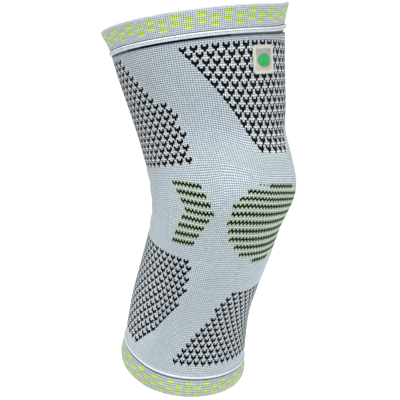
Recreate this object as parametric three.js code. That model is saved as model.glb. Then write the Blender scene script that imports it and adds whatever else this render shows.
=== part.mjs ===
// A knitted knee sleeve as it sits on a slightly bent knee: a hollow tube with an elastic cuff at each end,
// a raised welt between the tube and each cuff, and a small label on the thigh.
// Millimetres, +Z up. The kneecap faces -Y and the origin is the middle of the knee.
import * as THREE from "three";

// Reach of the sleeve above and below the middle of the knee, measured straight up
const thighHeight = 156;
const calfHeight = 152;

// Bend of the knee, in degrees off the vertical, and the height over which one lean turns into the other
const thighLean = 10;
const calfLean = 16;
const bendReach = 32;

// Outside of the worn knit: side to side, and front to back
const thighWidth = 148;
const kneeWidth = 114;
const calfWidth = 106;
const thighDepth = 150;
const kneeDepth = 118;
const calfDepth = 106;

// Height of the soft relief round the kneecap and of the creases behind the knee
const kneeRelief = 6;
const creaseDepth = 1.1;

// Knitted walls
const bodyWall = 2;
const upperCuffWall = 2.6;
const lowerCuffWall = 2.4;

// Cuffs and the welts that they meet
const upperCuffHeight = 16.5;
const upperCuffFlare = 3.5;
const lowerCuffHeight = 15.3;
const lowerCuffBulge = 1.4;
const upperWeltHeight = 5;
const upperWeltProud = 1.5;
const lowerWeltHeight = 3.8;
const lowerWeltProud = 1;

// Label, and how far its middle is below the top edge
const labelWidth = 24;
const labelHeight = 22.5;
const labelThickness = 1;
const labelCorner = 3;
const labelDrop = 41.5;

// Clearance between pieces that touch on the real sleeve
const seamGap = 0.3;

// Fineness of the meshes
const sidesAround = 56;
const outerRows = 34;
const innerRows = 16;
const edgeSteps = 4;
const weltSteps = 6;
const labelSteps = 10;

// Half sizes of the leg's section. level is a share of thighHeight above the knee and of calfHeight below it.
// front, back and side are shares of half the depth or half the width that the named sizes give there.
const sections = [
  { level: -1.0, front: 0.88, back: 1.16, side: 1.08 },
  { level: -0.85, front: 0.8, back: 1.2, side: 1.01 },
  { level: -0.64, front: 0.7, back: 1.21, side: 0.96 },
  { level: -0.42, front: 0.75, back: 1.11, side: 0.96 },
  { level: -0.24, front: 0.82, back: 1.01, side: 0.98 },
  { level: -0.09, front: 0.89, back: 0.93, side: 1.01 },
  { level: 0.06, front: 1.09, back: 0.85, side: 1.03 },
  { level: 0.21, front: 1.07, back: 0.82, side: 1.01 },
  { level: 0.36, front: 0.96, back: 0.87, side: 1.0 },
  { level: 0.54, front: 0.94, back: 0.95, side: 1.01 },
  { level: 0.75, front: 0.93, back: 1.03, side: 1.03 },
  { level: 0.9, front: 0.95, back: 1.08, side: 1.02 },
  { level: 1.0, front: 0.97, back: 1.12, side: 1.0 },
];

// Soft rises and hollows of the knit, the same left and right. angle is in degrees from the kneecap, tall and
// wide say how far one spreads, in levels and in degrees, and rise is a share of kneeRelief.
const reliefs = [
  { place: "top of the kneecap", level: 0.12, angle: 28, tall: 0.09, wide: 26, rise: 0.42 },
  { place: "rim under the kneecap", level: -0.13, angle: 0, tall: 0.07, wide: 26, rise: 0.22 },
  { place: "hollow beside the kneecap", level: 0.0, angle: 55, tall: 0.1, wide: 15, rise: -0.3 },
  { place: "hollow over the kneecap", level: 0.38, angle: 30, tall: 0.07, wide: 24, rise: -0.2 },
  { place: "tendon below the kneecap", level: -0.32, angle: 0, tall: 0.12, wide: 13, rise: 0.22 },
  { place: "inner edge of the shin", level: -0.5, angle: 40, tall: 0.2, wide: 16, rise: -0.16 },
  { place: "tendons behind the knee", level: 0.22, angle: 130, tall: 0.16, wide: 14, rise: 0.16 },
  { place: "hollow behind the knee", level: 0.04, angle: 180, tall: 0.16, wide: 24, rise: -0.3 },
];

// Creases behind the knee, where the knit gathers. depth is a share of creaseDepth.
const creases = [
  { level: 0.27, angle: 160, tall: 0.022, wide: 50, depth: 0.6 },
  { level: 0.17, angle: 165, tall: 0.024, wide: 55, depth: 0.9 },
  { level: 0.06, angle: 170, tall: 0.024, wide: 55, depth: 1.0 },
  { level: -0.05, angle: 165, tall: 0.024, wide: 55, depth: 0.9 },
  { level: -0.17, angle: 160, tall: 0.022, wide: 50, depth: 0.6 },
];

// Lie of the upper cuff: up is a share of its height, out is a share of its flare
const upperCuffLie = [
  { up: 0, out: 0 },
  { up: 0.2, out: 0.12 },
  { up: 0.4, out: 0.3 },
  { up: 0.6, out: 0.52 },
  { up: 0.8, out: 0.77 },
  { up: 1, out: 1 },
];

// Lie of the lower cuff: up is a share of its height, out is a share of its bulge
const lowerCuffLie = [
  { up: 0, out: 0.1 },
  { up: 0.15, out: 0.7 },
  { up: 0.4, out: 1 },
  { up: 0.7, out: 0.7 },
  { up: 1, out: 0 },
];

// Level of a height: 1 at the top edge, 0 at the middle of the knee, -1 at the bottom edge
function levelOf(height) {
  return height > 0 ? height / thighHeight : height / calfHeight;
}

// A size at a level, between the knee's and the thigh's or the calf's
function sizeAt(level, thigh, knee, calf) {
  return level > 0 ? THREE.MathUtils.lerp(knee, thigh, level) : THREE.MathUtils.lerp(knee, calf, -level);
}

// Slope of one column of the section table at a row, from its neighbours
function slopeAt(row, column) {
  const before = sections[Math.max(row - 1, 0)];
  const after = sections[Math.min(row + 1, sections.length - 1)];
  return (after[column] - before[column]) / (after.level - before.level);
}

// Smooth reading of one column of the section table at a level
function shareAt(level, column) {
  const held = THREE.MathUtils.clamp(level, sections[0].level, sections.at(-1).level);
  const row = Math.max(sections.findIndex((section) => section.level >= held) - 1, 0);
  const span = sections[row + 1].level - sections[row].level;
  const t = (held - sections[row].level) / span;
  const rise = sections[row + 1][column] - sections[row][column];
  const leave = slopeAt(row, column) * span;
  const arrive = slopeAt(row + 1, column) * span;
  const bend = t * t * (3 * rise - 2 * leave - arrive);
  const turn = t ** 3 * (leave + arrive - 2 * rise);
  return sections[row][column] + t * leave + bend + turn;
}

// Half sizes of the leg's section at a height
function sectionAt(height) {
  const level = levelOf(height);
  const halfDepth = sizeAt(level, thighDepth, kneeDepth, calfDepth) / 2;
  const halfWidth = sizeAt(level, thighWidth, kneeWidth, calfWidth) / 2;
  return {
    front: halfDepth * shareAt(level, "front"),
    back: halfDepth * shareAt(level, "back"),
    side: halfWidth * shareAt(level, "side"),
  };
}

// Middle line of the leg at a height: how far back it is, and its lean. It runs straight along the thigh and
// along the calf, and turns smoothly at the knee.
function middleLine(height) {
  const thighSlope = Math.tan(THREE.MathUtils.degToRad(thighLean));
  const calfSlope = Math.tan(THREE.MathUtils.degToRad(calfLean));
  const steady = (thighSlope - calfSlope) / 2;
  const turning = (thighSlope + calfSlope) / 2;
  return {
    back: steady * height + turning * bendReach * Math.log(Math.cosh(height / bendReach)),
    lean: Math.atan(steady + turning * Math.tanh(height / bendReach)),
  };
}

// Soft hill with its top at a level and an angle in degrees, 1 at the top
function hill(row, level, angle) {
  return Math.exp(-(((level - row.level) / row.tall) ** 2) - ((angle - row.angle) / row.wide) ** 2);
}

// How far the knit stands out from the plain section
function reliefAt(height, angle) {
  const level = levelOf(height);
  const degrees = Math.abs(THREE.MathUtils.radToDeg(Math.atan2(Math.sin(angle), Math.cos(angle))));
  const rises = reliefs.reduce((sum, row) => sum + kneeRelief * row.rise * hill(row, level, degrees), 0);
  const dents = creases.reduce((sum, row) => sum + creaseDepth * row.depth * hill(row, level, degrees), 0);
  return rises - dents;
}

// Point on the sleeve at an angle from the kneecap, at a height on the middle line, and at an offset outwards
// from the outside of the knit
function wrap(angle, height, offset) {
  const section = sectionAt(height);
  const line = middleLine(height);
  const depth = Math.cos(angle) > 0 ? section.front : section.back;
  const outSide = Math.sin(angle) / section.side;
  const outFront = Math.cos(angle) / depth;
  const out = (offset + reliefAt(height, angle)) / Math.hypot(outSide, outFront);
  const side = section.side * Math.sin(angle) + out * outSide;
  const front = depth * Math.cos(angle) + out * outFront;
  const back = line.back - front * Math.cos(line.lean);
  return new THREE.Vector3(side, back, height + front * Math.sin(line.lean));
}

// Knit of a colour, matt all over
function knit(color) {
  return new THREE.MeshStandardMaterial({ color, roughness: 0.9, metalness: 0 });
}

// Ring round the leg from its outline, a list of points with an offset and a height that runs up the outside
// and down the inside
function ring(name, outline, material) {
  const turnRadius = kneeWidth;
  const closed = [...outline, outline[0]];
  const profile = closed.map((point) => new THREE.Vector2(turnRadius + point.offset, point.height));
  const geometry = new THREE.LatheGeometry(profile, sidesAround);
  const position = geometry.getAttribute("position");
  for (let i = 0; i < position.count; i += 1) {
    const across = position.getX(i);
    const forward = position.getZ(i);
    const offset = Math.hypot(across, forward) - turnRadius;
    const point = wrap(Math.atan2(across, forward), position.getY(i), offset);
    position.setXYZ(i, point.x, point.y, point.z);
  }
  geometry.computeVertexNormals();
  const mesh = new THREE.Mesh(geometry, material);
  mesh.name = name;
  return mesh;
}

// Row of evenly spaced heights from one end to the other, both ends included
function spread(from, to, steps) {
  return Array.from({ length: steps + 1 }, (_, i) => THREE.MathUtils.lerp(from, to, i / steps));
}

// Half round edge over a wall, from its outer face to its inner one. way is 1 on a top edge, -1 on a
// bottom one.
function roundEdge(offset, height, wall, way) {
  return spread(0, Math.PI, edgeSteps).map((turn) => ({
    offset: offset - (wall / 2) * (1 - Math.cos(turn)),
    height: height + way * (wall / 2) * Math.sin(turn),
  }));
}

// Ends of the pieces, stacked from the two edges towards the knee
const upperCuffFoot = thighHeight - upperCuffHeight;
const upperWeltTop = upperCuffFoot - seamGap;
const upperWeltFoot = upperWeltTop - upperWeltHeight;
const bodyTop = upperWeltFoot - seamGap;
const lowerCuffTop = lowerCuffHeight - calfHeight;
const lowerWeltFoot = lowerCuffTop + seamGap;
const lowerWeltTop = lowerWeltFoot + lowerWeltHeight;
const bodyFoot = lowerWeltTop + seamGap;

// Knitted tube between the two welts
function sleeveBody() {
  const outside = spread(bodyFoot, bodyTop, outerRows).map((height) => ({ offset: 0, height }));
  const inside = spread(bodyTop, bodyFoot, innerRows).map((height) => ({ offset: -bodyWall, height }));
  return ring("sleeve_body", [...outside, ...inside], knit(0xabb6bb));
}

// Raised rolled edge, its outside a half oval and its inside flush with the tube
function welt(name, foot, height, proud) {
  const outside = spread(0, Math.PI, weltSteps).map((turn) => ({
    offset: proud * Math.sin(turn),
    height: foot + (height / 2) * (1 - Math.cos(turn)),
  }));
  const inside = [foot + height, foot].map((end) => ({ offset: -bodyWall, height: end }));
  return ring(name, [...outside, ...inside], knit(0xdfe6e8));
}

// Inner face of a band, from the top down, one wall in from its outside
function innerFace(outside, wall) {
  return outside.toReversed().map((point) => ({ offset: point.offset - wall, height: point.height }));
}

// Elastic band at the thigh, flared towards its rounded top edge
function upperCuff() {
  const straight = upperCuffHeight - upperCuffWall / 2;
  const outside = upperCuffLie.map((row) => ({
    offset: upperCuffFlare * row.out,
    height: upperCuffFoot + straight * row.up,
  }));
  const top = outside.at(-1);
  const edge = roundEdge(top.offset, top.height, upperCuffWall, 1).slice(1, -1);
  const inside = innerFace(outside, upperCuffWall);
  return ring("upper_cuff", [...outside, ...edge, ...inside], knit(0xb9bfc4));
}

// Elastic band at the calf, slightly barrel shaped, with a rounded bottom edge
function lowerCuff() {
  const straight = lowerCuffHeight - lowerCuffWall / 2;
  const foot = lowerCuffTop - straight;
  const outside = lowerCuffLie.map((row) => ({
    offset: lowerCuffBulge * row.out,
    height: foot + straight * row.up,
  }));
  const inside = innerFace(outside, lowerCuffWall);
  const edge = roundEdge(outside[0].offset, foot, lowerCuffWall, -1).slice(1, -1).reverse();
  return ring("lower_cuff", [...outside, ...inside, ...edge], knit(0xb4bbc0));
}

// Place of a label point in the plane, brought in to the rounded corner where it lies outside of it
function roundedCorner(x, y) {
  const corner = new THREE.Vector2(labelWidth / 2 - labelCorner, labelHeight / 2 - labelCorner);
  const over = new THREE.Vector2(Math.max(Math.abs(x) - corner.x, 0), Math.max(Math.abs(y) - corner.y, 0));
  if (over.x === 0 || over.y === 0) return new THREE.Vector2(x, y);
  over.clampLength(0, labelCorner);
  return new THREE.Vector2(Math.sign(x) * (corner.x + over.x), Math.sign(y) * (corner.y + over.y));
}

// Small flexible label that follows the front of the thigh
function label() {
  const geometry = new THREE.BoxGeometry(labelWidth, labelHeight, labelThickness, labelSteps, labelSteps, 1);
  const position = geometry.getAttribute("position");
  for (let i = 0; i < position.count; i += 1) {
    const flat = roundedCorner(position.getX(i), position.getY(i));
    const height = thighHeight - labelDrop + flat.y;
    const angle = Math.asin(flat.x / sectionAt(height).side);
    const point = wrap(angle, height, seamGap + labelThickness / 2 + position.getZ(i));
    position.setXYZ(i, point.x, point.y, point.z);
  }
  geometry.computeVertexNormals();
  const rubber = new THREE.MeshStandardMaterial({ color: 0xcdd0c3, roughness: 0.55, metalness: 0 });
  const mesh = new THREE.Mesh(geometry, rubber);
  mesh.name = "label";
  return mesh;
}

const sleeve = new THREE.Group();
sleeve.name = "knee_sleeve";
sleeve.add(
  sleeveBody(),
  upperCuff(),
  welt("upper_welt", upperWeltFoot, upperWeltHeight, upperWeltProud),
  lowerCuff(),
  welt("lower_welt", lowerWeltFoot, lowerWeltHeight, lowerWeltProud),
  label(),
);

export default sleeve;
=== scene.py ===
"""Looks of a knitted knee sleeve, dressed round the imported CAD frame.

The sleeve is shown as it sits on a slightly bent knee. Metres, +Z up, the kneecap faces -Y and the origin is
the middle of the knee. Tables hold millimetres and degrees, and angles run from the front of the leg.
"""

import logging
import math
from dataclasses import dataclass, field
from enum import IntEnum

import bmesh
import bpy
import numpy as np
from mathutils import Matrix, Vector


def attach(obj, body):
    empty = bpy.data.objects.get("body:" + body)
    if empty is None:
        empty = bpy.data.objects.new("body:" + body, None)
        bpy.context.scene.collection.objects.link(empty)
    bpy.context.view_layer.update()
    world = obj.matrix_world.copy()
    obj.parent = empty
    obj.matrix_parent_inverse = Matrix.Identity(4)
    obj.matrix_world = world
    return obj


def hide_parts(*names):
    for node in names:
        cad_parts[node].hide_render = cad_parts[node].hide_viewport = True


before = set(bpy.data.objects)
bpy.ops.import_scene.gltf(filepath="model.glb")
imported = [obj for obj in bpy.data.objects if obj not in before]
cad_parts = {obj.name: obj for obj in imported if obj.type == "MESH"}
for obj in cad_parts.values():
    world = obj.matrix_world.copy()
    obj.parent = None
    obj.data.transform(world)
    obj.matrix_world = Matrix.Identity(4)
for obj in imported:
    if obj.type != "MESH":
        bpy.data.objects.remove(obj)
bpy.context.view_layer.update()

MM = 0.001
STITCH_MAP = "Stitches"
# colour layer of the yarns, into which the sheets also mix painted light and shade
YARN_LAYER = "Yarn"
BAKE_MAP = "OFBake"
LOG = logging.getLogger("knee_sleeve")

Socket = bpy.types.NodeSocket
Material = bpy.types.Material
Piece = bpy.types.Object
Colour = tuple[float, float, float]
Knots = tuple[tuple[float, float], ...]


class Yarn(IntEnum):
    """Yarns of the sleeve, by their place in the palette, some of them also used as painted shade."""

    GREY = 0
    LIGHT = 1
    BLACK = 2
    LIME = 3
    PALE = 4
    WHITE = 5
    CUFF = 6
    BRIGHT = 7
    SHADE = 8
    RIM = 9
    MINT = 10
    DIM = 11


# Colour of each yarn, and of the painted shade, in 8-bit sRGB
YARN_COLOURS = {
    Yarn.GREY: (204, 216, 225),
    Yarn.LIGHT: (224, 234, 246),
    # BLACK is the black yarn, and also paints the deepest shadow under the upper welt
    Yarn.BLACK: (3, 5, 10),
    Yarn.LIME: (196, 238, 92),
    Yarn.PALE: (218, 234, 228),
    Yarn.WHITE: (236, 241, 244),
    Yarn.CUFF: (208, 215, 228),
    Yarn.BRIGHT: (228, 252, 140),
    # SHADE paints the shade in the welts' grooves and under the upper welt, and also colours the welts'
    # dotted stitch rows
    Yarn.SHADE: (50, 54, 58),
    Yarn.RIM: (212, 219, 226),
    Yarn.MINT: (204, 230, 186),
    # painted shade: the dim grey is the fainter shadow under the upper welt and on the thigh's first row
    Yarn.DIM: (118, 126, 134),
}


def linear(colour: Colour) -> tuple[float, float, float, float]:
    """Turn an 8-bit sRGB colour into the linear one that a shader takes.

    Args:
        colour: Red, green and blue from 0 to 255.

    Returns:
        Linear red, green, blue and an alpha of 1.
    """
    shares = [part / 255 for part in colour]
    flat = [x / 12.92 if x <= 0.04045 else ((x + 0.055) / 1.055) ** 2.4 for x in shares]
    return (*flat, 1.0)


PALETTE = np.array([linear(YARN_COLOURS[yarn]) for yarn in Yarn])


def smooth_reading(at: np.ndarray, knots: np.ndarray, values: np.ndarray) -> np.ndarray:
    """Read a table with a smooth curve through its rows.

    Args:
        at: Places to read.
        knots: The table's places, rising.
        values: The table's values.

    Returns:
        The value at each place.
    """
    slopes = np.gradient(values, knots)
    slopes[1:-1] = (values[2:] - values[:-2]) / (knots[2:] - knots[:-2])
    row = np.clip(np.searchsorted(knots, at) - 1, 0, len(knots) - 2)
    span = knots[row + 1] - knots[row]
    part = (at - knots[row]) / span
    rise = values[row + 1] - values[row]
    leave = slopes[row] * span
    arrive = slopes[row + 1] * span
    bend = part**2 * (3 * rise - 2 * leave - arrive)
    return values[row] + part * leave + bend + part**3 * (leave + arrive - 2 * rise)


def straight_reading(at: np.ndarray, knots: np.ndarray, values: np.ndarray) -> np.ndarray:
    """Read a table with straight lines through its rows, which run on past its ends.

    Args:
        at: Places to read.
        knots: The table's places, rising.
        values: The table's values.

    Returns:
        The value at each place.
    """
    row = np.clip(np.searchsorted(knots, at) - 1, 0, len(knots) - 2)
    slope = (values[row + 1] - values[row]) / (knots[row + 1] - knots[row])
    return values[row] + (at - knots[row]) * slope


def smooth_step(low: float, high: float, at: np.ndarray) -> np.ndarray:
    """Rise softly from 0 at low to 1 at high."""
    share = np.clip((at - low) / (high - low), 0, 1)
    return share * share * (3 - 2 * share)


def folded(angle: np.ndarray) -> np.ndarray:
    """Give how far an angle is from the front, the same on both sides."""
    return np.abs((angle + 180) % 360 - 180)


def add_object(name: str, data: bpy.types.ID) -> bpy.types.Object:
    """Add an object to the scene.

    Args:
        name: Name of the object.
        data: Its data.

    Returns:
        The new object.
    """
    thing = bpy.data.objects.new(name, data)
    bpy.context.scene.collection.objects.link(thing)
    return thing


@dataclass(frozen=True)
class SoftHill:
    """Soft rise or hollow with its top at a level and an angle, both with a reach."""

    level: float
    angle: float
    tall: float
    wide: float
    rise: float

    def height(self, level: np.ndarray, angle: np.ndarray) -> np.ndarray:
        """Give the rise at each level and angle.

        Args:
            level: Levels of the points.
            angle: Their angles.

        Returns:
            The rise of each point.
        """
        along = ((level - self.level) / self.tall) ** 2
        around = ((angle - self.angle) / self.wide) ** 2
        return self.rise * np.exp(-along - around)


@dataclass(frozen=True)
class LegForm:
    """Outside of the worn knit, with the same sizes and formulas as the CAD source."""

    thigh_height: float = 156 * MM
    calf_height: float = 152 * MM
    thigh_lean: float = 10.0
    calf_lean: float = 16.0
    bend_reach: float = 32 * MM
    thigh_size: tuple[float, float] = (148 * MM, 150 * MM)
    knee_size: tuple[float, float] = (114 * MM, 118 * MM)
    calf_size: tuple[float, float] = (106 * MM, 106 * MM)
    knee_relief: float = 6 * MM
    crease_depth: float = 1.1 * MM
    # level, and the shares of half the depth or width at the front, the back and the side
    sections: tuple[tuple[float, float, float, float], ...] = (
        (-1.0, 0.88, 1.16, 1.08),
        (-0.85, 0.8, 1.2, 1.01),
        (-0.64, 0.7, 1.21, 0.96),
        (-0.42, 0.75, 1.11, 0.96),
        (-0.24, 0.82, 1.01, 0.98),
        (-0.09, 0.89, 0.93, 1.01),
        (0.06, 1.09, 0.85, 1.03),
        (0.21, 1.07, 0.82, 1.01),
        (0.36, 0.96, 0.87, 1.0),
        (0.54, 0.94, 0.95, 1.01),
        (0.75, 0.93, 1.03, 1.03),
        (0.9, 0.95, 1.08, 1.02),
        (1.0, 0.97, 1.12, 1.0),
    )
    reliefs: tuple[SoftHill, ...] = (
        SoftHill(0.12, 28, 0.09, 26, 0.42),
        SoftHill(-0.13, 0, 0.07, 26, 0.22),
        SoftHill(0.0, 55, 0.1, 15, -0.3),
        SoftHill(0.38, 30, 0.07, 24, -0.2),
        SoftHill(-0.32, 0, 0.12, 13, 0.22),
        SoftHill(-0.5, 40, 0.2, 16, -0.16),
        SoftHill(0.22, 130, 0.16, 14, 0.16),
        SoftHill(0.04, 180, 0.16, 24, -0.3),
    )
    creases: tuple[SoftHill, ...] = (
        SoftHill(0.27, 160, 0.022, 50, 0.6),
        SoftHill(0.17, 165, 0.024, 55, 0.9),
        SoftHill(0.06, 170, 0.024, 55, 1.0),
        SoftHill(-0.05, 165, 0.024, 55, 0.9),
        SoftHill(-0.17, 160, 0.022, 50, 0.6),
    )

    def level_of(self, height: np.ndarray) -> np.ndarray:
        """Give 1 at the top edge, 0 at the middle of the knee and -1 at the bottom edge."""
        return np.where(height > 0, height / self.thigh_height, height / self.calf_height)

    def half_sizes(self, height: np.ndarray) -> tuple[np.ndarray, np.ndarray, np.ndarray]:
        """Work out the section of the leg.

        Args:
            height: Heights on the leg's middle line.

        Returns:
            Half sizes to the front, to the back and to the side.
        """
        level = self.level_of(height)
        sizes = []
        for axis in range(2):
            knee = self.knee_size[axis]
            thigh = knee + (self.thigh_size[axis] - knee) * level
            calf = knee - (self.calf_size[axis] - knee) * level
            sizes.append(np.where(level > 0, thigh, calf) / 2)
        half_width, half_depth = sizes
        table = np.array(self.sections)
        shares = [smooth_reading(level, table[:, 0], table[:, column]) for column in (1, 2, 3)]
        return half_depth * shares[0], half_depth * shares[1], half_width * shares[2]

    def middle_line(self, height: np.ndarray) -> tuple[np.ndarray, np.ndarray]:
        """Give how far back the leg's middle line is at a height, and its lean in radians.

        Args:
            height: Heights on the leg's middle line.

        Returns:
            How far back the line is, and its lean in radians.
        """
        thigh_slope = math.tan(math.radians(self.thigh_lean))
        calf_slope = math.tan(math.radians(self.calf_lean))
        steady = (thigh_slope - calf_slope) / 2
        turning = (thigh_slope + calf_slope) / 2
        bend = height / self.bend_reach
        back = steady * height + turning * self.bend_reach * np.log(np.cosh(bend))
        return back, np.arctan(steady + turning * np.tanh(bend))

    def relief(self, height: np.ndarray, angle: np.ndarray) -> np.ndarray:
        """Give how far the knit stands out from the plain section.

        Args:
            height: Heights on the leg's middle line.
            angle: Degrees from the kneecap.

        Returns:
            The distance outwards at each point.
        """
        level = self.level_of(height)
        rises = sum(hill.height(level, folded(angle)) for hill in self.reliefs)
        dents = sum(hill.height(level, folded(angle)) for hill in self.creases)
        return self.knee_relief * rises - self.crease_depth * dents

    def wrap(self, angle: np.ndarray, height: np.ndarray, offset: np.ndarray) -> np.ndarray:
        """Place points on the leg.

        Args:
            angle: Degrees from the kneecap.
            height: Heights on the leg's middle line.
            offset: Distances outwards from the outside of the knit.

        Returns:
            One row of x, y and z for each point.
        """
        front_half, back_half, side_half = self.half_sizes(height)
        back, lean = self.middle_line(height)
        turn = np.radians(angle)
        depth = np.where(np.cos(turn) > 0, front_half, back_half)
        out_side = np.sin(turn) / side_half
        out_front = np.cos(turn) / depth
        out = (offset + self.relief(height, angle)) / np.hypot(out_side, out_front)
        side = side_half * np.sin(turn) + out * out_side
        front = depth * np.cos(turn) + out * out_front
        return np.stack([side, back - front * np.cos(lean), height + front * np.sin(lean)], axis=-1)


@dataclass(frozen=True)
class WornLie:
    """Lie of the knit on the leg: its slight twist, and where its courses are pulled up or down."""

    # height in mm, and the angle that the middle of the pattern has turned to
    twist: Knots = ((-152, 2), (-110, 2.6), (-57, 6.5), (0, 5), (45, 4), (156, 4))
    # height and angle of each pull, its reach, and how far it lifts a course, in mm and degrees
    pulls: tuple[SoftHill, ...] = (SoftHill(38, -33, 42, 24, 5), SoftHill(18, 34, 14, 20, -2.6))
    # heights in mm between which the knit starts to ride up at the top edge, and where and how far it does
    edge_from: float = 128.5
    edge_full: float = 137.0
    edge_angle: float = 52.0
    edge_wide: float = 27.0
    edge_rise: float = 6.2

    def angle(self, turned: np.ndarray, height: np.ndarray) -> np.ndarray:
        """Turn an angle from the pattern's middle into one from the kneecap."""
        table = np.array(self.twist)
        return turned + np.interp(height / MM, table[:, 0], table[:, 1])

    def height(self, height: np.ndarray, angle: np.ndarray) -> np.ndarray:
        """Lift or lower a course where it is pulled.

        Args:
            height: Heights of the points.
            angle: Degrees from the kneecap.

        Returns:
            The heights as worn.
        """
        side = (angle + 180) % 360 - 180
        pulled = sum(pull.height(height / MM, side) for pull in self.pulls)
        around = np.exp(-(((side - self.edge_angle) / self.edge_wide) ** 2))
        ridden = self.edge_rise * smooth_step(self.edge_from, self.edge_full, height / MM) * around
        return height + MM * (pulled + ridden)


class NodeTree:
    """Material in the making, with shorthand for wiring its nodes."""

    def __init__(self, name: str) -> None:
        """Start a material and find its shader.

        Args:
            name: Name of the material.
        """
        self.material = bpy.data.materials.new(name)
        self.material.use_nodes = True
        self.nodes = self.material.node_tree.nodes
        self.links = self.material.node_tree.links
        self.shader = self.nodes["Principled BSDF"]

    def node(self, kind: str) -> bpy.types.Node:
        """Add a node of a kind."""
        return self.nodes.new(kind)

    def link(self, source: Socket, target: Socket) -> None:
        """Join two sockets."""
        self.links.new(source, target)

    def set_shader(self, values: dict[str, float | tuple[float, ...]]) -> None:
        """Set the shader's own inputs, by their names."""
        for name, value in values.items():
            self.shader.inputs[name].default_value = value

    def math(self, operation: str, *values: float | Socket) -> Socket:
        """Add a maths node.

        Args:
            operation: Blender's name for the operation.
            values: Numbers or sockets for its inputs, in order.

        Returns:
            The result's socket.
        """
        node = self.node("ShaderNodeMath")
        node.operation = operation
        for socket, value in zip(node.inputs, values):
            if isinstance(value, Socket):
                self.link(value, socket)
            else:
                socket.default_value = value
        return node.outputs[0]

    def product(self, result: Socket, *others: Socket) -> Socket:
        """Multiply values.

        Args:
            result: The first value.
            others: The values to multiply it by.

        Returns:
            The product's socket.
        """
        for other in others:
            result = self.math("MULTIPLY", result, other)
        return result

    def spread(self, value: Socket, share: float) -> Socket:
        """Turn 0 to 1 into a factor that swings by a share either side of 1."""
        return self.math("MULTIPLY_ADD", value, 2 * share, 1.0 - share)

    def noise(self, scale: float, detail: float) -> Socket:
        """Add noise in the piece's own space.

        Args:
            scale: Size of the noise, larger for finer.
            detail: Steps of finer noise in it.

        Returns:
            The noise's socket, from 0 to 1.
        """
        node = self.node("ShaderNodeTexNoise")
        node.inputs["Scale"].default_value = scale
        node.inputs["Detail"].default_value = detail
        self.link(self.node("ShaderNodeTexCoord").outputs["Object"], node.inputs["Vector"])
        return node.outputs[0]

    def stitch_place(self) -> tuple[Socket, Socket]:
        """Read both coordinates of the piece's stitch map.

        Returns:
            The sockets of the place across and of the place along.
        """
        stitch = self.node("ShaderNodeUVMap")
        stitch.uv_map = STITCH_MAP
        apart = self.node("ShaderNodeSeparateXYZ")
        self.link(stitch.outputs["UV"], apart.inputs["Vector"])
        return apart.outputs["X"], apart.outputs["Y"]

    def mix(self, factor: Socket, *ends: Socket | tuple[float, ...]) -> Socket:
        """Mix two linear colours by a factor and give the colour's socket.

        Args:
            factor: Share of the second colour.
            ends: The two colours, each a socket or plain numbers.

        Returns:
            The mixed colour's socket.
        """
        node = self.node("ShaderNodeMix")
        node.data_type = "RGBA"
        self.link(factor, node.inputs[0])
        for socket, colour in zip([socket for socket in node.inputs if socket.type == "RGBA"], ends):
            if isinstance(colour, Socket):
                self.link(colour, socket)
            else:
                socket.default_value = colour
        return [socket for socket in node.outputs if socket.type == "RGBA"][0]

    def colour(self, colour: Socket, shade: Socket) -> None:
        """Give the shader a colour times a shade.

        Args:
            colour: The colour's socket.
            shade: The factor for it.
        """
        tint = self.node("ShaderNodeVectorMath")
        tint.operation = "SCALE"
        self.link(colour, tint.inputs["Vector"])
        self.link(shade, tint.inputs["Scale"])
        self.link(tint.outputs["Vector"], self.shader.inputs["Base Color"])

    def bump(self, height: Socket, distance: float, strength: float) -> None:
        """Give the shader a bump.

        Args:
            height: The height's socket.
            distance: Depth of the bump.
            strength: How much of it shows.
        """
        bump = self.node("ShaderNodeBump")
        bump.inputs["Distance"].default_value = distance
        bump.inputs["Strength"].default_value = strength
        self.link(height, bump.inputs["Height"])
        self.link(bump.outputs["Normal"], self.shader.inputs["Normal"])


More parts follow.
